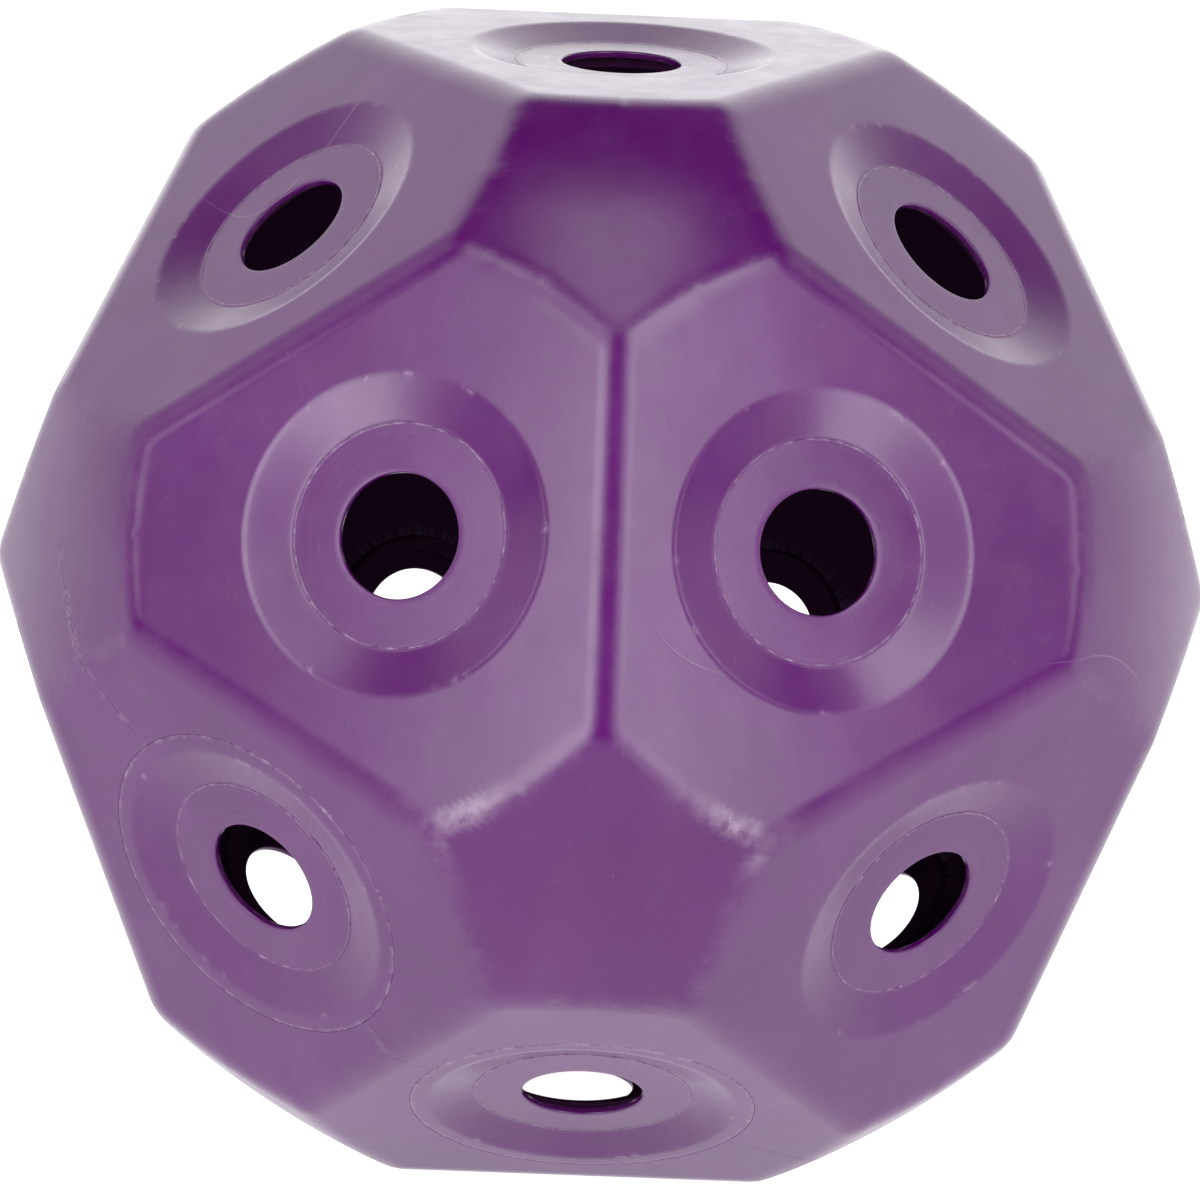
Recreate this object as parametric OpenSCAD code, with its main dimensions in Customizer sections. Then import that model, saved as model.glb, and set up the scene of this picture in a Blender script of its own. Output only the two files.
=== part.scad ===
// A hollow feeding ball: twenty flats that meet at twelve rounded crowns, a holed ring in
// each flat, two half shells, three fixed round panels and one bayonet filler lid.
// The origin is the ball's centre, +Z is the axis of the top flat, and the ball stands on
// the opposite flat.

/* [Ball] */
// Diameter over two opposite crowns
crown_d = 399; // [396:0.5:402]
// Radius of the curve of each crown, flatter than the ball itself
crown_r = 300; // [240:10:400]
// Distance from the ball's centre to each flat
flat_h = 181; // [179:0.5:183]
// Thickness of the moulded wall
wall = 3; // [2.5:0.1:3.5]

/* [Feed ports] */
// Diameter of the hole that the feed falls out of
hole_d = 38.2; // [30:0.2:44]
// Diameter of the ring's visible flange
ring_d = 68.4; // [66:0.2:70]
// Diameter of the ring's spigot, inside the port
spigot_d = 60; // [56:0.5:62]
// Outer diameter of the shallow dish around each ring
dish_d = 97.6; // [94:0.2:100]
// Depth of the dish below the flat
dish_depth = 4.2; // [3:0.1:5]
// Radius on the mouth of the hole
lip_r = 0.6; // [0.4:0.1:1]
// Thickness of the ring's face, which is the hole's wall
face_t = 2.4; // [2:0.1:2.8]
// Bore of the spigot behind the ring's face
spigot_bore_d = 52; // [50:0.5:54]
// Length of the ring along its axis
ring_l = 6.5; // [6:0.1:8]

/* [Round panels] */
// Diameter of the round openings on the parting line
port_d = 109; // [107:0.2:111]
// Diameter of a fixed panel's inner flange
flange_d = 118; // [116:1:122]

/* [Filler lid] */
// Outer diameter of the skirt under the lid
skirt_d = 99; // [98:0.5:99.5]
// Length of the skirt below the lid's rim
skirt_l = 10; // [9:0.5:11]
// Bore of the collar that holds the lid
collar_d = 104; // [103:0.5:104.5]
// Length of the collar below the wall
collar_l = 13; // [12.5:0.5:15]
// Rise of the lid in one full turn
lid_lead = 48; // [40:1:56]
// Width of each bayonet lug, as an angle
lug_angle = 12; // [8:1:14]

/* [Hidden] */
$fn = 96;
phi = (1 + sqrt(5)) / 2;
crown_h = crown_d / 2;                // centre to the middle of each crown
floor_z = -dish_depth;                // dish floor and ring face, below the flat
seat_t = wall / 2;                    // thickness of the ring's flange and of its seat
slip = 0.1;                           // radial gap of everything that turns or slides
lug_gap = 0.2;                        // gap between a closed lug and its ledge
lug_h = 3;
lug_top_z = -wall - skirt_l + lug_h + 0.6;
lugs = 3;
lip_steps = 6;                        // straight steps in the rounded mouth of a hole
parting_fold = 0.001;                 // tells a face on the parting plane from one beside it

// Corners of an icosahedron with edges 2 long, one of its twofold axes along +Z
CORNERS = [
    [0, 1, phi], [0, -1, phi], [-phi, 0, 1], [phi, 0, 1],
    [-1, phi, 0], [1, phi, 0], [-1, -phi, 0], [1, -phi, 0],
    [-phi, 0, -1], [phi, 0, -1], [0, 1, -phi], [0, -1, -phi]
];
stand_angle = atan(phi * phi);        // tips a threefold axis up to +Z, so the ball stands on a flat
function stood(v) = [
    v[0],
    v[1] * cos(stand_angle) - v[2] * sin(stand_angle),
    v[1] * sin(stand_angle) + v[2] * cos(stand_angle)
];
function unit(v) = v / norm(v);
function unit_at(angle) = [cos(angle), sin(angle)];
function joined(i, j) = abs(norm(CORNERS[i] - CORNERS[j]) - 2) < 0.01;
last = len(CORNERS) - 1;
FACES = [
    for (i = [0:last]) for (j = [i + 1:1:last]) for (k = [j + 1:1:last])
    if (joined(i, j) && joined(j, k) && joined(i, k)) [i, j, k]
];
function face_axis(f) = unit(stood(CORNERS[f[0]] + CORNERS[f[1]] + CORNERS[f[2]]));

// The two halves of the ball meet on a mirror plane of the icosahedron
parting_axis = unit(stood([1, 1 / phi, phi]));
function side_of(f) =
    let (d = face_axis(f) * parting_axis)
    abs(d) < parting_fold ? 0 : sign(d);

LID_FACE = 5;                         // the low left flat, seen from the front
PANEL_FACES = [for (n = [0:len(FACES) - 1]) if (n != LID_FACE && side_of(FACES[n]) == 0) n];
RING_FACES = [for (n = [0:len(FACES) - 1]) if (n != LID_FACE) n];
PANEL_NAMES = ["bottom_panel", "rear_upper_panel", "rear_side_panel"];
function two_digits(n) = n < 10 ? str("0", n) : str(n);
RING_NAMES = [for (n = [1:len(RING_FACES)]) str("feed_ring_", two_digits(n))];

// Carries a shape drawn about +Z, with the flat at z = 0, onto one flat of the ball
module on_flat(f) {
    axis = face_axis(f);
    to_corner = stood(CORNERS[f[0]]);
    across = unit(to_corner - axis * (to_corner * axis));
    third = cross(axis, across);
    place = axis * flat_h;
    multmatrix([
        [across[0], third[0], axis[0], place[0]],
        [across[1], third[1], axis[1], place[1]],
        [across[2], third[2], axis[2], place[2]],
        [0, 0, 0, 1]
    ])
        children();
}

// A solid icosahedron whose faces lie h from the centre
module icosahedron(h) {
    inradius = phi * phi / sqrt(3);
    polyhedron(
        points = [for (c = CORNERS) stood(c) * h / inradius],
        faces = [
            for (f = FACES)
            let (n = cross(CORNERS[f[1]] - CORNERS[f[0]], CORNERS[f[2]] - CORNERS[f[0]]))
            n * CORNERS[f[0]] > 0 ? [f[0], f[2], f[1]] : f
        ]
    );
}

// The ball's outer form taken in by inset all round: twenty flats, with a crown at each corner
module faceted_ball(inset) {
    intersection() {
        icosahedron(flat_h - inset);
        intersection_for(c = CORNERS)
            translate(unit(stood(c)) * (crown_h - crown_r)) sphere(r = crown_r - inset, $fn = 256);
    }
}

// The half of space on one side of the parting plane
module half_space(side) {
    axis = parting_axis * side;
    rotate([0, acos(axis[2]), atan2(axis[1], axis[0])])
        translate([-crown_d, -crown_d, 0])
            cube([2 * crown_d, 2 * crown_d, 2 * crown_d]);
}

module dish_cut() {
    rise = 1;
    slope = (dish_d - ring_d) / 2 / dish_depth;
    translate([0, 0, floor_z])
        cylinder(h = dish_depth + rise, r1 = ring_d / 2, r2 = dish_d / 2 + rise * slope);
}

// Material behind the dish, left standing in the shell's cavity
module dish_backing() {
    translate([0, 0, floor_z - wall])
        cylinder(h = dish_depth + wall / 2, r1 = ring_d / 2 + wall, r2 = dish_d / 2 + wall);
}

// The stepped hole that a ring snaps into
module ring_seat() {
    translate([0, 0, floor_z - seat_t])
        cylinder(h = 2 * seat_t, d = ring_d + 2 * slip);
    translate([0, 0, floor_z - 2 * wall])
        cylinder(h = 2 * wall, d = spigot_d + 2 * slip);
}

module shell(side) {
    intersection() {
        difference() {
            faceted_ball(0);
            difference() {
                faceted_ball(wall);
                for (f = FACES) if (side_of(f) == side) on_flat(f) dish_backing();
            }
            for (f = FACES) if (side_of(f) == side) on_flat(f) {
                dish_cut();
                ring_seat();
            }
            for (f = FACES) if (side_of(f) == 0) on_flat(f)
                translate([0, 0, -2 * wall]) cylinder(h = 3 * wall, d = port_d);
        }
        half_space(side);
    }
}

module front_shell() {
    color("#7b4a8c") shell(1);
}

module rear_shell() {
    color("#724583") shell(-1);
}

// A snap-in ring: a face flush with the dish floor, a hollow spigot and a barb behind the wall
module ring_shape() {
    hole_r = hole_d / 2;
    spigot_r = spigot_d / 2;
    back_z = floor_z - wall - slip;
    end_z = floor_z - ring_l;
    barb = 1.2;
    rotate_extrude() polygon(concat(
        [for (n = [0:lip_steps])
            [hole_r + lip_r, floor_z - lip_r] + lip_r * unit_at(180 - 90 * n / lip_steps)],
        [
            [ring_d / 2, floor_z],
            [ring_d / 2, floor_z - seat_t],
            [spigot_r, floor_z - seat_t],
            [spigot_r, back_z],
            [spigot_r + barb, back_z],
            [spigot_r, end_z],
            [spigot_bore_d / 2, end_z],
            [spigot_bore_d / 2, floor_z - face_t],
            [hole_r, floor_z - face_t]
        ]
    ));
}

module feed_ring(n) {
    color("#84508f") on_flat(FACES[RING_FACES[n]]) ring_shape();
}

module lid_ring() {
    color("#84508f") on_flat(FACES[LID_FACE]) ring_shape();
}

// The dished disc that the panels and the lid share, out to the given radius
module dished_disc(rim_r) {
    rotate_extrude() polygon([
        [spigot_d / 2 + slip, floor_z - wall],
        [spigot_d / 2 + slip, floor_z - seat_t],
        [ring_d / 2 + slip, floor_z - seat_t],
        [ring_d / 2 + slip, floor_z],
        [dish_d / 2, 0],
        [rim_r, 0],
        [rim_r, -wall],
        [dish_d / 2, -wall],
        [ring_d / 2 + wall, floor_z - wall]
    ]);
}

// A fixed panel: the dished disc with a flange bonded behind the shell
module panel(n) {
    flange_t = 2;
    lap = 8;
    color("#7d4c8e") on_flat(FACES[PANEL_FACES[n]]) union() {
        dished_disc(port_d / 2 - slip);
        translate([0, 0, -wall - flange_t]) difference() {
            cylinder(h = flange_t, d = flange_d);
            translate([0, 0, -1]) cylinder(h = flange_t + 2, r = port_d / 2 - lap);
        }
    }
}

// A block on the rim whose face follows the lid's helix; top_z and bottom_z are at its middle
module helix_block(r_in, r_out, top_z, bottom_z, top_slope, bottom_slope) {
    half = (skirt_d / 2) * tan(lug_angle / 2);
    intersection() {
        rotate([90, 0, 90]) translate([0, 0, r_in - 1]) linear_extrude(r_out - r_in + 2)
            polygon([
                [-half, bottom_z - half * bottom_slope],
                [half, bottom_z + half * bottom_slope],
                [half, top_z + half * top_slope],
                [-half, top_z - half * top_slope]
            ]);
        translate([0, 0, -2 * skirt_l]) difference() {
            cylinder(h = 2 * skirt_l, r = r_out);
            translate([0, 0, -1]) cylinder(h = 2 * skirt_l + 2, r = r_in);
        }
    }
}

function helix_slope() = lid_lead / (PI * (skirt_d + collar_d) / 2);

// The ring bonded behind the wall, with three ledges that hold the lid's lugs down
module filler_collar() {
    flange_t = 2.5;
    ledge_h = 3;
    ledge_z = lug_top_z + lug_gap;
    color("#6b3f7b") on_flat(FACES[LID_FACE]) union() {
        translate([0, 0, -wall]) rotate_extrude() polygon([
            [collar_d / 2, 0],
            [flange_d / 2, 0],
            [flange_d / 2, -flange_t],
            [collar_d / 2 + wall, -flange_t],
            [collar_d / 2 + wall, -collar_l],
            [collar_d / 2, -collar_l]
        ]);
        for (n = [0:lugs - 1]) rotate([0, 0, n * 360 / lugs])
            helix_block(skirt_d / 2 + 3 * slip, collar_d / 2 + 1, ledge_z + ledge_h, ledge_z,
                        0, helix_slope());
    }
}

// The lid: a dished disc with a skirt and three lugs, which climbs as it is turned
module filler_lid() {
    skirt_t = 2.5;
    overlap = 1;
    color("#7f4d90") on_flat(FACES[LID_FACE]) union() {
        dished_disc(port_d / 2 - 2 * slip);
        translate([0, 0, -wall - skirt_l]) difference() {
            cylinder(h = skirt_l + overlap, d = skirt_d);
            translate([0, 0, -1]) cylinder(h = skirt_l + overlap + 2, d = skirt_d - 2 * skirt_t);
        }
        for (n = [0:lugs - 1]) rotate([0, 0, n * 360 / lugs])
            helix_block(skirt_d / 2 - 1, collar_d / 2 - 2 * slip, lug_top_z, lug_top_z - lug_h,
                        helix_slope(), 0);
    }
}

front_shell();
rear_shell();
filler_collar();
filler_lid();
lid_ring();
for (n = [0:len(PANEL_NAMES) - 1]) panel(n);
for (n = [0:len(RING_NAMES) - 1]) feed_ring(n);
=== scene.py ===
"""Looks of a hollow, faceted feeding ball in purple moulded plastic, built around its CAD frame.

Everything is in metres in the CAD frame: the origin is the ball's centre, +Z is the axis of the top flat,
and the ball stands on the opposite flat. A flat's own frame has +Z along its outward axis, with the flat
at z = FLAT_H, and +X towards the flat's first corner.
"""

import functools
import itertools
import math

import bmesh
import bpy
import numpy as np
from mathutils import Matrix, Vector


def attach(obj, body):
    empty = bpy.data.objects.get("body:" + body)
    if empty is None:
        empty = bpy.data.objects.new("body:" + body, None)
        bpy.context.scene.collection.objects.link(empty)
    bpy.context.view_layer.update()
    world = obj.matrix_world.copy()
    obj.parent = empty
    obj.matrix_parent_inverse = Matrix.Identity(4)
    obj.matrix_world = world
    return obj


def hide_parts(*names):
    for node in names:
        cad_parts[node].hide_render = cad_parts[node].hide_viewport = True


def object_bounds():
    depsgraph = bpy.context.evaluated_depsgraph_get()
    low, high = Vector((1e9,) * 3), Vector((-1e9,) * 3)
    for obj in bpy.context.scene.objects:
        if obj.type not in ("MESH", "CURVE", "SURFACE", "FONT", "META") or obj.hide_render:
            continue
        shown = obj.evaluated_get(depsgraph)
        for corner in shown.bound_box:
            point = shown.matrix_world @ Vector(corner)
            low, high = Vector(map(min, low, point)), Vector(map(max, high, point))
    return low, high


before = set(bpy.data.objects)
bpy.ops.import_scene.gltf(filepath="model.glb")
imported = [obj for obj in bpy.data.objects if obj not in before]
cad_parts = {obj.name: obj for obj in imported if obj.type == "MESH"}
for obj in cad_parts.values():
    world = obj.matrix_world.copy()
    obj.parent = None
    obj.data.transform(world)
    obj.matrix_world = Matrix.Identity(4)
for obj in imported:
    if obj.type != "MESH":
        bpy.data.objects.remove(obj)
cad_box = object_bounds()

MM = 0.001

# ---------------------------------------------------------------- sizes

lowest, highest = cad_box
FLAT_H = (highest[2] - lowest[2]) / 2        # centre to each flat
CROWN_H = 199.5 * MM                         # centre to the middle of each rounded crown
CROWN_R = 300 * MM                           # radius of a crown's own curve
WALL = 3 * MM
FILLET = 17 * MM                             # rolling-ball radius along every edge
FLOOR = 4.2 * MM                             # depth of a dish below its flat
HOLE_R = 19.1 * MM
RING_R = 34.2 * MM                           # a ring's round seam
SPIGOT_R = 30 * MM                           # its spigot, behind the wall
SPIGOT_BORE_R = 26 * MM
BARB = 1.2 * MM                              # how far its barb sticks out
FACE_T = 2.4 * MM                            # a ring's face, which is the hole's wall
DISH_R = 48.8 * MM
PORT_R = 54.5 * MM                           # round openings on the parting line
FLANGE_R = 59 * MM
FLANGE_T = 2 * MM
FLANGE_INNER_R = 46.5 * MM
SEAM_GAP = 0.05 * MM                         # around the rims of the panels and the lid
SLIP = 0.1 * MM                              # around the rings
PARTING_GAP = 0.12 * MM                      # between the half shells
RING_LENGTH = 6.5 * MM
SKIRT_R = 49.5 * MM
SKIRT_T = 2.5 * MM
SKIRT_LENGTH = 10 * MM
COLLAR_R = 52 * MM
LUG_HEIGHT = 3 * MM
LUG_ANGLE = 12                               # degrees
LUG_LEAD = 48 * MM                           # rise in a full turn
LUGS = 3

RIM_ROUND = 9 * MM                           # where a dish turns over into its flat
FOOT_ROUND = 2.5 * MM                        # where a dish's cone meets its floor
SEAM_ROUND = 0.2 * MM
LIP_ROUND = 0.6 * MM                         # a hole's mouth
CHAMFER = 0.4 * MM
FLASH = 0.18 * MM                            # height of the thin bead of flash on a ring's seam
FLASH_HALF = 0.28 * MM                       # half its width

TURN_STEPS = 216                             # columns of vertices around a flat
OUTER_ROWS = 84                              # rows of them from a flat's opening to the edge of its share
INNER_ROWS = 14                              # the same on the inside of the wall
WELD = 0.002 * MM                            # vertices closer than this are one
SHARP = math.radians(50)                     # edges that bend more than this are shaded sharp
WHOLE_TURN = np.radians(np.arange(TURN_STEPS) * 360 / TURN_STEPS)

# ---------------------------------------------------------------- the twenty flats

PHI = (1 + math.sqrt(5)) / 2
CORNERS = np.array([
    (0, 1, PHI), (0, -1, PHI), (-PHI, 0, 1), (PHI, 0, 1),
    (-1, PHI, 0), (1, PHI, 0), (-1, -PHI, 0), (1, -PHI, 0),
    (-PHI, 0, -1), (PHI, 0, -1), (0, 1, -PHI), (0, -1, -PHI),
])
STAND = np.array(Matrix.Rotation(math.atan(PHI * PHI), 3, "X"))
HALF_FOLD = math.acos(PHI / math.sqrt(3))            # half the angle between two neighbouring flats
CORNER_TILT = math.atan(2 * math.tan(HALF_FOLD))     # between a flat's axis and its corners
LID_FACE = 5
BOTTOM_FACE = 7


def unit(v):
    v = np.asarray(v, float)
    return v / np.linalg.norm(v)


def neighbours(i, j):
    return abs(np.linalg.norm(CORNERS[i] - CORNERS[j]) - 2) < 0.01


FACES = [
    f for f in itertools.combinations(range(len(CORNERS)), 3)
    if all(neighbours(i, j) for i, j in itertools.combinations(f, 2))
]
PARTING_AXIS = STAND @ unit((1, 1 / PHI, PHI))


def flat_frame(n):
    """Columns are the flat's own x, y and z axes in the row frame."""
    corners = (STAND @ CORNERS[list(FACES[n])].T).T
    axis = unit(corners.sum(0))
    across = unit(corners[0] - axis * (corners[0] @ axis))
    return np.stack([across, np.cross(axis, across), axis], 1)


def side_of(n):
    """Which half shell a flat is on: 1 front, -1 rear, 0 on the parting plane."""
    d = flat_frame(n)[:, 2] @ PARTING_AXIS
    return 0 if abs(d) < 0.001 else int(np.sign(d))


PANEL_NAMES = dict(zip(
    [n for n in range(20) if side_of(n) == 0 and n != LID_FACE],
    ["bottom_panel", "rear_upper_panel", "rear_side_panel"]))
RING_NAMES = {n: "feed_ring_%02d" % (i + 1) for i, n in enumerate(n for n in range(20) if n != LID_FACE)}

# ---------------------------------------------------------------- the rounded, faceted surface

CORE_H = FLAT_H - FILLET
CORE_R = CROWN_R - FILLET
CROWN_TURNS = np.radians([0, 120, 240])
CROWN_CENTRES = (CROWN_H - CROWN_R) * np.column_stack([
    math.sin(CORNER_TILT) * np.cos(CROWN_TURNS),
    math.sin(CORNER_TILT) * np.sin(CROWN_TURNS),
    np.full(3, math.cos(CORNER_TILT))])
RIDGE_TURNS = np.radians([60, 180, 300])
RIDGE_AXES = np.column_stack([
    math.sin(2 * HALF_FOLD) * np.cos(RIDGE_TURNS),
    math.sin(2 * HALF_FOLD) * np.sin(RIDGE_TURNS),
    np.full(3, math.cos(2 * HALF_FOLD))])
CROWN_EDGE, RIDGE_EDGE = 1.0, 0.35           # how worn the two kinds of rounded edge are
CROWN_CORNER_R = 201 * MM                    # centre to a crown's corners


def crown_corner(i, j, crown):
    """Where the ridge between two flats runs into a crown."""
    ridge = unit(flat_frame(i)[:, 2] + flat_frame(j)[:, 2])
    span = math.acos(ridge @ crown)
    along = math.acos(FLAT_H / math.cos(HALF_FOLD) / CROWN_CORNER_R)
    return CROWN_CORNER_R * (math.sin(span - along) * ridge + math.sin(along) * crown) / math.sin(span)


# The middles of the stress-whitened stretches, at the outer ends of the low front crown's two upper edges
FRONT_LEFT, FRONT_RIGHT, LOW_LEFT, LOW_RIGHT = 0, 1, LID_FACE, 6
LOW_FRONT_CROWN = unit(max((STAND @ CORNERS.T).T, key=lambda corner: sum(
    flat_frame(n)[:, 2] @ corner for n in (FRONT_LEFT, FRONT_RIGHT, LOW_LEFT, LOW_RIGHT))))
TOP_OF_CROWN = crown_corner(FRONT_LEFT, FRONT_RIGHT, LOW_FRONT_CROWN)
BLUSHED = [crown_corner(i, j, LOW_FRONT_CROWN) * 0.84 + TOP_OF_CROWN * 0.16
           for i, j in ((FRONT_LEFT, LOW_LEFT), (FRONT_RIGHT, LOW_RIGHT))]


def crown_centres_by(x):
    """For each point in a flat's frame, the centre of the nearest crown's curve."""
    turn = np.arctan2(x[:, 1], x[:, 0])
    return CROWN_CENTRES[np.round(turn / np.radians(120)).astype(int) % 3]


def nearest_in_core(x):
    """(points, wear): the nearest points of the ball's core and how worn the surface above each is.

    The core is the ball with its fillet radius taken off all round."""
    slack = 1e-9
    best = np.full(len(x), np.inf)
    near = np.array(x)
    wear = np.zeros(len(x))

    def offer(p, worn=0.0):
        inside = (p[:, 2] <= CORE_H + slack) & (p @ RIDGE_AXES.T <= CORE_H + slack).all(1)
        for centre in CROWN_CENTRES:
            inside &= np.linalg.norm(p - centre, axis=1) <= CORE_R + slack
        d = np.where(inside, np.linalg.norm(p - x, axis=1), np.inf)
        take = d < best
        best[take] = d[take]
        near[take] = p[take]
        wear[take] = worn

    centres = crown_centres_by(x)
    out = x - centres
    offer(x)
    offer(centres + out / np.linalg.norm(out, axis=1, keepdims=True) * CORE_R)
    offer(np.column_stack([x[:, :2], np.full(len(x), CORE_H)]))
    arc_r = np.sqrt(CORE_R ** 2 - (CORE_H - centres[:, 2:]) ** 2)
    flat_out = out[:, :2] / np.linalg.norm(out[:, :2], axis=1, keepdims=True)
    offer(np.column_stack([centres[:, :2] + flat_out * arc_r, np.full(len(x), CORE_H)]), CROWN_EDGE)
    for axis in RIDGE_AXES:
        along = unit(np.cross((0, 0, 1), axis))
        foot = unit(axis + (0, 0, 1)) * CORE_H / math.cos(HALF_FOLD)
        end = CROWN_CENTRES[np.argmax(CROWN_CENTRES @ -along)]
        lead = (foot - end) @ along
        reach = math.sqrt(lead ** 2 - (foot - end) @ (foot - end) + CORE_R ** 2) - lead
        t = ((x - foot) @ along).clip(-reach, reach)
        offer(foot + t[:, None] * along, RIDGE_EDGE)
    return near, wear


def on_ball(directions):
    """(points, normals, wear) where rays from the centre leave the rounded ball."""
    d = directions / np.linalg.norm(directions, axis=1, keepdims=True)
    low = np.full(len(d), CORE_H)
    high = np.full(len(d), CROWN_H + FILLET)
    for _ in range(32):
        mid = (low + high) / 2
        x = d * mid[:, None]
        out = np.linalg.norm(x - nearest_in_core(x)[0], axis=1) > FILLET
        high = np.where(out, mid, high)
        low = np.where(out, low, mid)
    x = d * ((low + high) / 2)[:, None]
    near, wear = nearest_in_core(x)
    normal = (x - near) / FILLET
    return x, normal, wear * across_fillet(x, normal, wear == CROWN_EDGE)


def across_fillet(x, normal, by_crown):
    """0 at a fillet's two borders and 1 along its middle."""
    out = x - crown_centres_by(x)
    crown_tilt = np.arccos(out[:, 2] / np.linalg.norm(out, axis=1))
    part = np.arccos(normal[:, 2].clip(-1, 1)) / np.where(by_crown, crown_tilt, 2 * HALF_FOLD)
    return (4 * part * (1 - part)).clip(0, 1)


def edge_slope(turn):
    """Tangent of the angle from a flat's axis to where its share of the ball ends, at each turn."""
    off = turn % np.radians(120) - np.radians(60)
    return math.tan(HALF_FOLD) / np.cos(off)


@functools.lru_cache(maxsize=None)
def fan_rows(start_r, rows):
    """Points, normals and wear of a flat from a circle of radius start_r out to the edges of its share."""
    start = start_r / FLAT_H
    end = edge_slope(WHOLE_TURN)
    found = []
    for s in np.linspace(0, 1, rows + 1):
        slope = start + (end - start) * s
        found.append(on_ball(np.column_stack(
            [slope * np.cos(WHOLE_TURN), slope * np.sin(WHOLE_TURN), np.ones(TURN_STEPS)])))
    return tuple(np.array(part) for part in zip(*found))


# ---------------------------------------------------------------- profiles, in (r, z) with z from the flat


def arc(centre, radius, start, end, steps):
    """Points of an arc; angles in degrees."""
    a = np.radians(np.linspace(start, end, steps + 1))
    return [(centre[0] + radius * math.cos(t), centre[1] + radius * math.sin(t)) for t in a]


def line(a, b, steps):
    return [tuple(np.array(a) + (np.array(b) - np.array(a)) * s) for s in np.linspace(0, 1, steps + 1)]


def dish_profile(inner_r, outer_r):
    """The dish from the ring's seam at inner_r up to the flat and out to outer_r."""
    slope = math.atan(FLOOR / (DISH_R - RING_R))
    bend = math.degrees(slope)
    rim_centre = (DISH_R + RIM_ROUND * math.tan(slope / 2), -RIM_ROUND)
    foot_centre = (RING_R + 0.8 * MM - FOOT_ROUND * math.tan(slope / 2), -FLOOR + FOOT_ROUND)
    seam = arc((inner_r + SEAM_ROUND, -FLOOR - SEAM_ROUND), SEAM_ROUND, 180, 90, 4)
    foot = arc(foot_centre, FOOT_ROUND, 270, 270 + bend, 4)
    rim = arc(rim_centre, RIM_ROUND, 90 + bend, 90, 8)
    cone = line(foot[-1], rim[0], 8)[1:-1]
    end = line(rim[-1], (outer_r, 0), 3)[1:] if outer_r > rim[-1][0] + 0.01 * MM else []
    return seam + foot + cone + rim + end


def seat_profile():
    """The stepped seat behind a ring, from the back of the wall to the ring's seam."""
    seat = RING_R + SLIP
    return [(SPIGOT_R + SLIP, -FLOOR - WALL), (SPIGOT_R + SLIP, -FLOOR - WALL / 2), (seat, -FLOOR - WALL / 2)]


def rim_flash(profile):
    """How much flash shows on each point of a profile: a thin band along the dish's rim."""
    r = np.array([p[0] for p in profile])
    return np.exp(-((r - DISH_R + 0.4 * MM) / (0.8 * MM)) ** 2)[:, None]


def ragged(turns, seed):
    """Uneven values from 0 to 1 around a seam, the same each run."""
    waves = sum(np.sin(turns * k + seed * (k + 1.7)) for k in (2, 5, 11, 17, 29, 43))
    return (0.5 + waves / 5).clip(0, 1)


def rare(turns, seed):
    """The tallest bits of a ragged seam, and nothing along the rest of it."""
    return ((ragged(turns, seed) - 0.9) * 6).clip(0, 0.6)


# ---------------------------------------------------------------- meshes


class Shape:
    """Collects vertices and faces. Each vertex has marks: its flash, its wear, and whether it is inside."""

    def __init__(self):
        self.points = []
        self.faces = []
        self.marks = []

    def grid(self, rows, closed, flip=False, flash=0.0, wear=0.0, inside=0.0):
        """Adds a grid of points, rows x columns x 3, and returns the index grid."""
        rows = np.asarray(rows, float)
        count, width = rows.shape[:2]
        first = len(self.points)
        self.points.extend(rows.reshape(-1, 3).tolist())
        marks = [np.broadcast_to(m, (count, width)).ravel() for m in (flash, wear, inside)]
        self.marks.extend(np.stack(marks, 1).tolist())
        index = np.arange(first, first + count * width).reshape(count, width)
        self.sew(index, closed, flip)
        return index

    def sew(self, index, closed, flip=False):
        count, width = index.shape
        for r in range(count - 1):
            for c in range(width if closed else width - 1):
                d = (c + 1) % width
                quad = (index[r, c], index[r, d], index[r + 1, d], index[r + 1, c])
                self.faces.append(quad[::-1] if flip else quad)


def spin(profile, turns):
    """Rows of points from a profile spun about a flat's axis."""
    c, s = np.cos(turns), np.sin(turns)
    return np.array([np.column_stack([r * c, r * s, np.full(len(turns), FLAT_H + z)]) for r, z in profile])


def closed_ring(profile, flash, hidden):
    """A closed ring from a profile that ends where it starts; hidden says which of its points are inside."""
    shape = Shape()
    index = shape.grid(spin(profile, WHOLE_TURN), True, flash=flash, inside=np.array(hidden, float)[:, None])
    shape.sew(np.array([index[-1], index[0]]), True)
    return shape


def make_piece(name, shape, n, body):
    """Makes the piece that stands for a CAD node; its shape is in flat n's frame, or in the row frame."""
    own = np.array(shape.points)
    placed = own if n is None else own @ flat_frame(n).T
    mesh = bpy.data.meshes.new(name + "_skin")
    mesh.from_pydata(placed.tolist(), [], [tuple(int(i) for i in f) for f in shape.faces])
    for key, values in (("marks", shape.marks), ("own", own)):
        mesh.attributes.new(key, "FLOAT_VECTOR", "POINT").data.foreach_set("vector", np.ravel(values))
    bm = bmesh.new()
    bm.from_mesh(mesh)
    bmesh.ops.remove_doubles(bm, verts=bm.verts, dist=WELD)
    bmesh.ops.recalc_face_normals(bm, faces=bm.faces)
    bm.to_mesh(mesh)
    bm.free()
    mesh.shade_smooth()
    mesh.set_sharp_from_angle(angle=SHARP)
    piece = bpy.data.objects.new(name + "_skin", mesh)
    bpy.context.scene.collection.objects.link(piece)
    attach(piece, body)
    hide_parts(name)
    return piece


# ---------------------------------------------------------------- half shells


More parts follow.
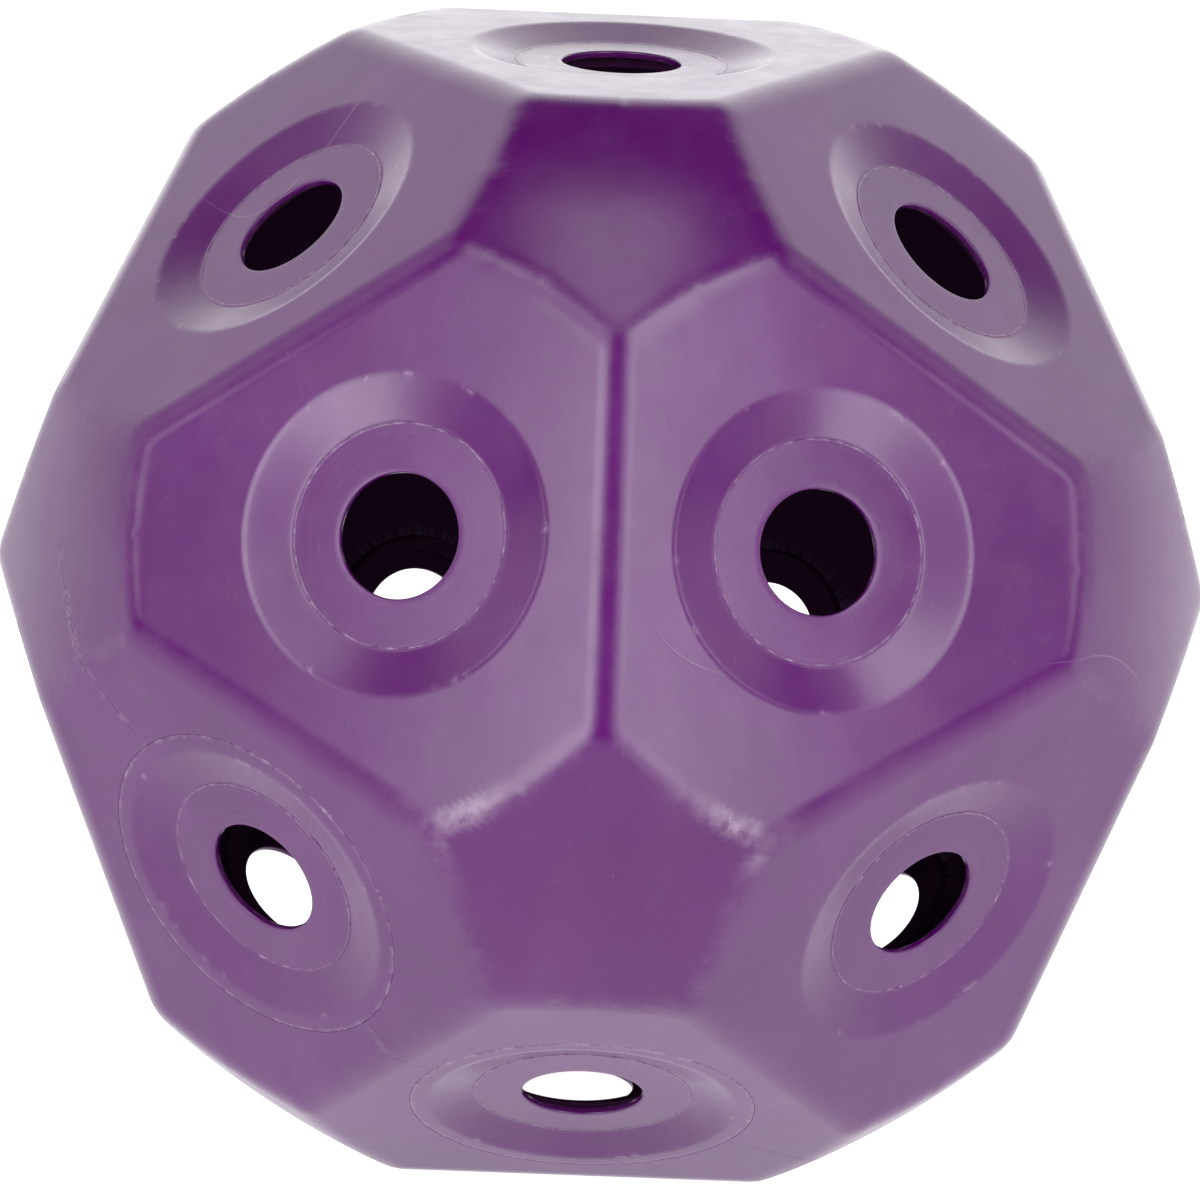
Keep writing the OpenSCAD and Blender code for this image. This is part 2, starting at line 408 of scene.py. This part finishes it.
def columns_on(n, side):
    """The columns of a flat's fan that belong to one half shell: all, or the half turn on its side."""
    if side_of(n) == side:
        return np.arange(TURN_STEPS)
    f = flat_frame(n)
    along = np.cross(PARTING_AXIS * side, f[:, 2])
    start = round(math.atan2(along @ f[:, 1], along @ f[:, 0]) / (2 * math.pi) * TURN_STEPS)
    return (start + np.arange(TURN_STEPS // 2 + 1)) % TURN_STEPS


def shell_share(shape, n, side):
    """Adds one flat's share of a half shell, closed but for the edges that meet other shares."""
    split = side_of(n) == 0
    columns = columns_on(n, side)
    turns = WHOLE_TURN[columns]
    if split:
        port = [(PORT_R, -WALL), (PORT_R, -SEAM_ROUND)]
        port += arc((PORT_R + SEAM_ROUND, -SEAM_ROUND), SEAM_ROUND, 180, 90, 4)[1:]
        back = [(PORT_R, -WALL)]
        inner_r = PORT_R
    else:
        port = seat_profile() + dish_profile(RING_R + SLIP, DISH_R + 1.5 * MM)
        back = [(SPIGOT_R + SLIP, -FLOOR - WALL), (RING_R + WALL, -FLOOR - WALL)]
        inner_r = DISH_R + WALL
    outer, _, wear = (part[:, columns] for part in fan_rows(port[-1][0], OUTER_ROWS))
    inner, inner_n, _ = fan_rows(inner_r, INNER_ROWS)
    inner = (inner - inner_n * WALL)[:, columns]
    inner[0, :, 2] = FLAT_H - WALL
    near = spin(port[:-1], turns)
    outside = np.concatenate([near, outer])
    inside = np.concatenate([spin(back, turns), inner])
    flash = np.zeros(outside.shape[:2])
    worn = np.concatenate([np.zeros(near.shape[:2]), wear])
    if split:
        flash[len(near):, [0, -1]] = 0.0 if n == BOTTOM_FACE else 0.6
        for part in (outside, inside):
            part[:, [0, -1]] += side * PARTING_GAP / 2 * (PARTING_AXIS @ flat_frame(n))
    else:
        flash[:len(near)] = rim_flash(port[:-1]) * rare(turns, n)
    to_row = flat_frame(n).T
    shape.grid(outside @ to_row, not split, flash=flash, wear=worn)
    shape.grid(inside @ to_row, not split, flip=True, inside=1.0)
    if split:
        for column in (0, -1):
            edge_strip(shape, outside[:, column] @ to_row, inside[:, column] @ to_row)


def edge_strip(shape, a, b):
    """Fills the strip between two open edges that start and end together."""
    first = len(shape.points)
    second = first + len(a)
    shape.points.extend(a.tolist() + b.tolist())
    shape.marks.extend([[0, 0, 0]] * (len(a) + len(b)))
    last_a, last_b = len(a) - 1, len(b) - 1
    i = j = 0
    while i < last_a or j < last_b:
        if i < last_a and (j == last_b or (i + 1) / last_a <= (j + 1) / last_b):
            shape.faces.append((first + i, first + i + 1, second + j))
            i += 1
        else:
            shape.faces.append((first + i, second + j + 1, second + j))
            j += 1


def ridge_edges(shape, side):
    """Closes the wall where the parting plane runs along a ridge between two flats."""
    per_side = TURN_STEPS // 3
    for n, k in itertools.product(range(20), range(3)):
        if side_of(n) != side:
            continue
        f = flat_frame(n)
        columns = (k * per_side + np.arange(per_side + 1)) % TURN_STEPS
        outer, normals, _ = (part[-1, columns] for part in fan_rows(DISH_R + WALL, INNER_ROWS))
        ends = outer[[0, -1]] @ f.T
        if all(abs(unit(e) @ PARTING_AXIS) < 0.001 for e in ends):
            shape.grid(np.array([outer @ f.T, (outer - normals * WALL) @ f.T]), False)


def make_shell(name, side):
    shape = Shape()
    for n in range(20):
        if side_of(n) in (0, side):
            shell_share(shape, n, side)
    ridge_edges(shape, side)
    return make_piece(name, shape, None, "ball")


# ---------------------------------------------------------------- rings, panels and lid


def make_ring(n, name, body):
    """A feed ring: mouth, face, a ragged bead of flash over its seam, and a barbed spigot behind."""
    top = -FLOOR
    end = -FLOOR - RING_LENGTH
    mouth = arc((HOLE_R + LIP_ROUND, top - LIP_ROUND), LIP_ROUND, 180, 90, 6)
    face = line(mouth[-1], (RING_R - 0.6 * MM, top), 8)[1:]
    bead = arc((RING_R - 0.1 * MM, top), FLASH_HALF, 180, 0, 6)
    front = [(SPIGOT_BORE_R, end), (SPIGOT_BORE_R, top - FACE_T), (HOLE_R + CHAMFER, top - FACE_T),
             (HOLE_R, top - FACE_T + CHAMFER)] + mouth + face
    back = [(RING_R, top - SEAM_ROUND), (RING_R, top - WALL / 2), (SPIGOT_R, top - WALL / 2),
            (SPIGOT_R, top - WALL - SLIP), (SPIGOT_R + BARB, top - WALL - SLIP), (SPIGOT_R, end)]
    profile = front + bead + back
    flash = np.zeros((len(profile), TURN_STEPS))
    height = ragged(WHOLE_TURN, n + 0.3)
    flash[len(front):len(front) + len(bead)] = 0.3 + 0.7 * height
    shape = closed_ring(profile, flash, [z < top - FACE_T + CHAMFER / 2 for r, z in profile])
    points = np.array(shape.points).reshape(len(profile), TURN_STEPS, 3)
    on_bead = points[len(front):len(front) + len(bead), :, 2]
    on_bead[:] = FLAT_H + top + (on_bead - FLAT_H - top) * FLASH / FLASH_HALF * (0.25 + 0.75 * height)
    shape.points = points.reshape(-1, 3).tolist()
    return make_piece(name, shape, n, body)


def disc_profile(rim_r):
    """The front of a dished disc, from the seat of its ring to the back of its rim."""
    rim = arc((rim_r - SEAM_ROUND, -SEAM_ROUND), SEAM_ROUND, 90, 0, 4)[1:]
    return seat_profile() + dish_profile(RING_R + SLIP, rim_r - SEAM_ROUND) + rim + [(rim_r, -WALL)]


def disc_flash(profile, rim_r, seed):
    """Flash along a disc's dish rim and along its outer seam."""
    r, z = np.array(profile).T
    seam = ((abs(r - rim_r) < 0.4 * MM) & (z > -0.5 * MM))[:, None]
    along_seam = 0.3 + 0.7 * ragged(WHOLE_TURN, seed + 2)
    return np.maximum(rim_flash(profile) * rare(WHOLE_TURN, seed), seam * along_seam)


def behind_wall(profile, front_end):
    """Which points of a disc's profile are inside the ball: its seat's back, and all from front_end on."""
    return [i < 2 or i >= front_end for i in range(len(profile))]


def make_panel(n, name):
    profile = disc_profile(PORT_R - SEAM_GAP)
    front_end = len(profile)
    profile += [(FLANGE_R, -WALL), (FLANGE_R, -WALL - FLANGE_T), (FLANGE_INNER_R, -WALL - FLANGE_T)]
    profile += [(RING_R + WALL, -FLOOR - WALL)]
    shape = closed_ring(profile, disc_flash(profile, PORT_R - SEAM_GAP, n), behind_wall(profile, front_end))
    return make_piece(name, shape, n, "ball")


def add_lugs(shape):
    """The three bayonet lugs around the lid's skirt, with sloped tops."""
    slope = LUG_LEAD / (math.pi * (SKIRT_R + COLLAR_R))
    top = -WALL - SKIRT_LENGTH + LUG_HEIGHT + 0.6 * MM
    half = math.radians(LUG_ANGLE / 2)
    turns = np.linspace(-half, half, 9)
    root_r, tip_r = SKIRT_R - 1 * MM, COLLAR_R - 0.2 * MM
    for k in range(LUGS):
        a = turns + 2 * math.pi * k / LUGS
        rows = []
        for r, up in ((root_r, True), (tip_r, True), (tip_r, False), (root_r, False), (root_r, True)):
            z = top + r * np.sin(turns) * slope if up else np.full(len(turns), top - LUG_HEIGHT)
            rows.append(np.column_stack([r * np.cos(a), r * np.sin(a), FLAT_H + z]))
        index = shape.grid(rows, False)
        shape.faces.append(tuple(index[:4, 0]))
        shape.faces.append(tuple(index[:4, -1][::-1]))


def make_lid():
    rim_r = PORT_R - SEAM_GAP
    bottom = -WALL - SKIRT_LENGTH
    inner_r = SKIRT_R - SKIRT_T
    profile = disc_profile(rim_r)
    front_end = len(profile)
    profile += [(SKIRT_R, -WALL), (SKIRT_R, bottom + CHAMFER), (SKIRT_R - CHAMFER, bottom), (inner_r, bottom)]
    profile += [(inner_r, -WALL - 2 * CHAMFER), (RING_R + WALL, -FLOOR - WALL)]
    shape = closed_ring(profile, disc_flash(profile, rim_r, LID_FACE), behind_wall(profile, front_end))
    add_lugs(shape)
    return make_piece("filler_lid", shape, LID_FACE, "lid")


shells = [make_shell("front_shell", 1), make_shell("rear_shell", -1)]
rings = [make_ring(n, name, "ball") for n, name in RING_NAMES.items()]
rings.append(make_ring(LID_FACE, "lid_ring", "lid_carrier"))
discs = [make_panel(n, name) for n, name in PANEL_NAMES.items()] + [make_lid()]

# ---------------------------------------------------------------- materials


class Nodes:
    """Adds shader nodes to a tree; an input is a value or another node's output."""

    def __init__(self, tree):
        self.tree = tree

    def add(self, kind, inputs, **settings):
        new = self.tree.nodes.new("ShaderNode" + kind)
        for key, value in settings.items():
            setattr(new, key, value)
        for key, value in inputs.items():
            if isinstance(value, bpy.types.NodeSocket):
                self.tree.links.new(value, new.inputs[key])
            else:
                new.inputs[key].default_value = value
        return new.outputs

    def noise(self, place, scale, detail=4.0, rough=0.55, warp=0.0):
        inputs = {"Vector": place, "Scale": scale, "Detail": detail, "Roughness": rough, "Distortion": warp}
        return self.add("TexNoise", inputs)["Fac"]

    def span(self, value, low, high, to_low=0.0, to_high=1.0):
        inputs = {"Value": value, "From Min": low, "From Max": high, "To Min": to_low, "To Max": to_high}
        return self.add("MapRange", inputs)["Result"]

    def math(self, operation, a, b=0.0):
        return self.add("Math", {0: a, 1: b}, operation=operation)[0]

    def stretched(self, place, scale):
        return self.add("Mapping", {"Vector": place, "Scale": scale})["Vector"]

    def mix(self, factor, a, b):
        return self.add("MixRGB", {"Fac": factor, "Color1": a, "Color2": b})["Color"]


def scratches(nodes, place, scale, width, warp):
    """Thin wandering lines, shown only here and there."""
    line_noise = nodes.noise(place, scale, 0.0, 0.4, warp)
    off = nodes.math("ABSOLUTE", nodes.math("SUBTRACT", line_noise, 0.5))
    where = nodes.span(nodes.noise(place, scale * 0.9 + 3, 2.0), 0.58, 0.64)
    return nodes.math("MULTIPLY", nodes.span(off, 0.0, width, 1.0, 0.0), where)


PURPLE_DEEP = (0.062, 0.0008, 0.082, 1)
PURPLE = (0.073, 0.0014, 0.097, 1)
BLOOM = (0.20, 0.10, 0.22, 1)
WHITENED = (0.62, 0.50, 0.60, 1)
DIRT = (0.012, 0.004, 0.012, 1)
DUST = (0.060, 0.016, 0.058, 1)              # on the inside of the ball
STREAKS = 42.0                               # how much finer the streaks are across than along


def moulded_plastic(name, turned=False):
    """Semi-gloss coloured polyethylene with mottling, a waxy bloom, scratches, whitened flash with painted
    glints on it, and worn edges.

    A turned piece also has faint streaks around its own flat's axis."""
    material = bpy.data.materials.new(name)
    material.use_nodes = True
    nodes = Nodes(material.node_tree)
    shader = material.node_tree.nodes["Principled BSDF"]
    place = nodes.add("TexCoord", {})["Object"]
    marks = nodes.add("SeparateXYZ", {"Vector": nodes.add("Attribute", {}, attribute_name="marks")["Vector"]})
    flash, wear, inside = marks["X"], marks["Y"], marks["Z"]

    colour = nodes.mix(nodes.span(nodes.noise(place, 16, 5), 0.35, 0.65), PURPLE_DEEP, PURPLE)
    film = nodes.noise(nodes.stretched(place, (1, 1, 0.45)), 38, 7, 0.68)
    colour = nodes.mix(nodes.span(film, 0.45, 0.8, 0.0, 0.10), colour, BLOOM)
    rough = nodes.span(nodes.noise(place, 60, 8, 0.7), 0.3, 0.7, 0.21, 0.29)

    if turned:
        own = nodes.add("Attribute", {}, attribute_name="own")["Vector"]
        flat = nodes.stretched(own, (1, 1, 0))
        radius = nodes.add("VectorMath", {0: flat}, operation="LENGTH")["Value"]
        spread = nodes.math("MULTIPLY", radius, STREAKS)
        around = nodes.add("CombineXYZ", {"X": spread, "Y": 0.0, "Z": 0.0})["Vector"]
        wander = nodes.add("VectorMath", {0: around, 1: own}, operation="ADD")["Vector"]
        streak = nodes.noise(wander, 26, 3, 0.6)
        colour = nodes.mix(nodes.span(streak, 0.4, 0.75, 0.0, 0.05), colour, BLOOM)
        rough = nodes.math("ADD", rough, nodes.span(streak, 0.3, 0.7, -0.02, 0.02))

    scratch = scratches(nodes, place, 7, 0.0012, 0.25)
    colour = nodes.mix(nodes.math("MULTIPLY", scratch, 0.15), colour, WHITENED)

    grit = nodes.noise(place, 520, 3, 0.6)
    scuff = nodes.math("MULTIPLY", wear, nodes.span(nodes.noise(place, 90, 6, 0.7), 0.46, 0.72))
    colour = nodes.mix(nodes.math("MULTIPLY", scuff, 0.05), colour, WHITENED)
    speck = nodes.math("MULTIPLY", nodes.span(grit, 0.66, 0.70), nodes.math("MULTIPLY", scuff, 0.5))
    colour = nodes.mix(speck, colour, DIRT)

    apart = [
        nodes.add("VectorMath", {0: place, 1: tuple(spot)}, operation="DISTANCE")["Value"]
        for spot in BLUSHED
    ]
    blush = nodes.math("MULTIPLY", wear, nodes.span(nodes.math("MINIMUM", *apart), 5 * MM, 20 * MM, 1.0, 0.0))
    blush = nodes.math("MULTIPLY", blush, nodes.span(nodes.noise(place, 130, 4, 0.6), 0.38, 0.60))
    colour = nodes.mix(nodes.math("MULTIPLY", blush, 0.3), colour, WHITENED)
    speck = nodes.math("MULTIPLY", nodes.span(grit, 0.60, 0.64), nodes.math("MULTIPLY", blush, 0.7))
    colour = nodes.mix(speck, colour, DIRT)

    bits = nodes.span(nodes.noise(place, 300, 3, 0.6), 0.40, 0.62)
    bright = nodes.math("MULTIPLY", flash, bits)
    colour = nodes.mix(nodes.math("MULTIPLY", bright, 0.22), colour, WHITENED)
    # Painted glints: tiny white specks along the flash, mixed into the colour as painted highlights.
    painted_glint = nodes.math("MULTIPLY", flash, nodes.span(nodes.noise(place, 420, 1.5, 0.5), 0.62, 0.70))
    colour = nodes.mix(nodes.math("MULTIPLY", painted_glint, 0.2), colour, WHITENED)
    colour = nodes.mix(nodes.math("MULTIPLY", inside, 0.85), colour, DUST)
    rough = nodes.math("ADD", rough, nodes.math("MULTIPLY", nodes.math("MAXIMUM", bright, scuff), 0.05))

    peel = nodes.noise(place, 240, 3, 0.5)
    swell = nodes.noise(place, 17, 2, 0.5)
    height = nodes.math("ADD", nodes.math("MULTIPLY", peel, 0.02), nodes.math("MULTIPLY", swell, 0.35))
    height = nodes.math("ADD", height, nodes.math("MULTIPLY", bright, 0.12))
    height = nodes.math("SUBTRACT", height, nodes.math("MULTIPLY", scratch, 0.05))
    bump = nodes.add("Bump", {"Height": height, "Distance": 1 * MM, "Strength": 1.0})["Normal"]

    rough = nodes.math("ADD", rough, nodes.math("MULTIPLY", inside, 0.5))
    gloss = nodes.span(inside, 0.0, 1.0, 0.5, 0.02)

    tree = material.node_tree
    tree.links.new(gloss, shader.inputs["Specular IOR Level"])
    tree.links.new(colour, shader.inputs["Base Color"])
    tree.links.new(rough, shader.inputs["Roughness"])
    tree.links.new(bump, shader.inputs["Normal"])
    shader.inputs["IOR"].default_value = 1.52
    return material


shell_plastic = moulded_plastic("purple_polyethylene")
turned_plastic = moulded_plastic("purple_polyethylene_turned", turned=True)
for piece in shells:
    piece.data.materials.append(shell_plastic)
for piece in rings + discs:
    piece.data.materials.append(turned_plastic)
for cad_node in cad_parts.values():
    cad_node.data.materials.clear()
    cad_node.data.materials.append(shell_plastic)

# ---------------------------------------------------------------- stage and light

FLOOR_SIZE = 30


def make_floor():
    """A glowing white floor, dimmer well in front of the ball and brighter far behind it."""
    bpy.ops.mesh.primitive_plane_add(size=FLOOR_SIZE, location=(0, 0, -FLAT_H))
    floor = bpy.context.object
    floor.name = "floor"
    paint = bpy.data.materials.new("pale_floor")
    paint.use_nodes = True
    shader = paint.node_tree.nodes["Principled BSDF"]
    shader.inputs["Base Color"].default_value = (0.5, 0.5, 0.5, 1)
    shader.inputs["Roughness"].default_value = 0.9
    shader.inputs["Emission Color"].default_value = (1, 1, 1, 1)
    nodes = Nodes(paint.node_tree)
    place = nodes.add("SeparateXYZ", {"Vector": nodes.add("TexCoord", {})["Object"]})
    near_glow = nodes.span(place["Y"], -0.45, -0.22, 0.55, 1.0)
    far_glow = nodes.span(place["Y"], 0.25, 0.6, 0.0, 0.3)
    glow = nodes.math("ADD", near_glow, far_glow)
    paint.node_tree.links.new(glow, shader.inputs["Emission Strength"])
    floor.data.materials.append(paint)
    return floor


make_floor()
bpy.context.scene.view_settings.view_transform = "Standard"


def make_world():
    """White where it is seen. As light, a bright sweep low behind the ball, and dark above and in front."""
    world = bpy.data.worlds.new("studio")
    world.use_nodes = True
    bpy.context.scene.world = world
    nodes = Nodes(world.node_tree)
    towards = nodes.add("SeparateXYZ", {"Vector": nodes.add("TexCoord", {})["Generated"]})
    behind = nodes.span(towards["Y"], -0.2, 0.95, 0.0, 1.85)
    low = nodes.span(towards["Z"], 0.45, 0.1, 1.0, 1.3)
    below_top = nodes.span(towards["Z"], 0.85, 0.7)
    sweep = nodes.math("MULTIPLY", nodes.math("MULTIPLY", behind, low), below_top)
    seen = nodes.add("LightPath", {})["Is Camera Ray"]
    strength = nodes.add("Mix", {"Factor": seen, "A": sweep, "B": 1.3})[0]
    background = world.node_tree.nodes["Background"]
    background.inputs["Color"].default_value = (1, 1, 1, 1)
    world.node_tree.links.new(strength, background.inputs["Strength"])


LIGHT_DISTANCE = 1.0


def softbox(name, azimuth, elevation, wide, high, radiance):
    """An area light at LIGHT_DISTANCE; its place and spread, in degrees, are as seen from the ball's centre.

    Azimuth 0 is the camera's side, positive to the right."""
    az, el = math.radians(azimuth), math.radians(elevation)
    towards = Vector((math.sin(az) * math.cos(el), -math.cos(az) * math.cos(el), math.sin(el)))
    data = bpy.data.lights.new(name, "AREA")
    data.shape = "RECTANGLE"
    data.size = 2 * LIGHT_DISTANCE * math.cos(el) * math.tan(math.radians(wide / 2))
    data.size_y = 2 * LIGHT_DISTANCE * math.tan(math.radians(high / 2))
    data.energy = math.pi * data.size * data.size_y * radiance
    lamp = bpy.data.objects.new(name, data)
    lamp.location = towards * LIGHT_DISTANCE
    lamp.rotation_euler = towards.to_track_quat("Z", "Y").to_euler()
    lamp.visible_camera = False
    bpy.context.scene.collection.objects.link(lamp)


make_world()
softbox("left_softbox", -29, 12, 19, 40, 6.2)
softbox("left_softbox_top", -29, 42, 19, 20, 2.8)
softbox("left_softbox_inner_wing", -16, 22, 8, 60, 1.8)
softbox("left_softbox_outer_wing", -43, 22, 8, 60, 1.2)
softbox("right_softbox", 34, 22, 18, 60, 5.2)
softbox("right_softbox_inner_wing", 20, 22, 10, 60, 2.3)
softbox("high_front_strip", 0, 59, 96, 14, 1.25)
softbox("overhead_softbox", 0, 76, 60, 20, 2.8)
for side in (-1, 1):
    softbox("far_strip", 60 * side, 22, 10, 20, 3.8)
    softbox("side_strip", 80 * side, 19, 24, 54, 0.9)

# ---------------------------------------------------------------- camera

CAMERA_AZIMUTH = -0.99                       # this and the next two in degrees
CAMERA_ELEVATION = 16.15
CAMERA_ROLL = 2.53
CAMERA_DISTANCE = 1.7737                     # from the ball's centre
CAMERA_OFFSET = (0.58 * MM, -3.28 * MM)      # of the camera's axis from the centre, right and up
LENS = 161.0


def make_camera():
    data = bpy.data.cameras.new("camera")
    data.lens = LENS
    data.sensor_width = 36
    data.clip_end = 50
    camera = bpy.data.objects.new("camera", data)
    bpy.context.scene.collection.objects.link(camera)
    tilt = Matrix.Rotation(math.radians(CAMERA_AZIMUTH), 3, "Z")
    tilt = tilt @ Matrix.Rotation(math.radians(90 - CAMERA_ELEVATION), 3, "X")
    tilt = tilt @ Matrix.Rotation(math.radians(CAMERA_ROLL), 3, "Z")
    camera.matrix_world = tilt.to_4x4()
    camera.location = tilt @ Vector((*CAMERA_OFFSET, CAMERA_DISTANCE))
    bpy.context.scene.camera = camera


make_camera()
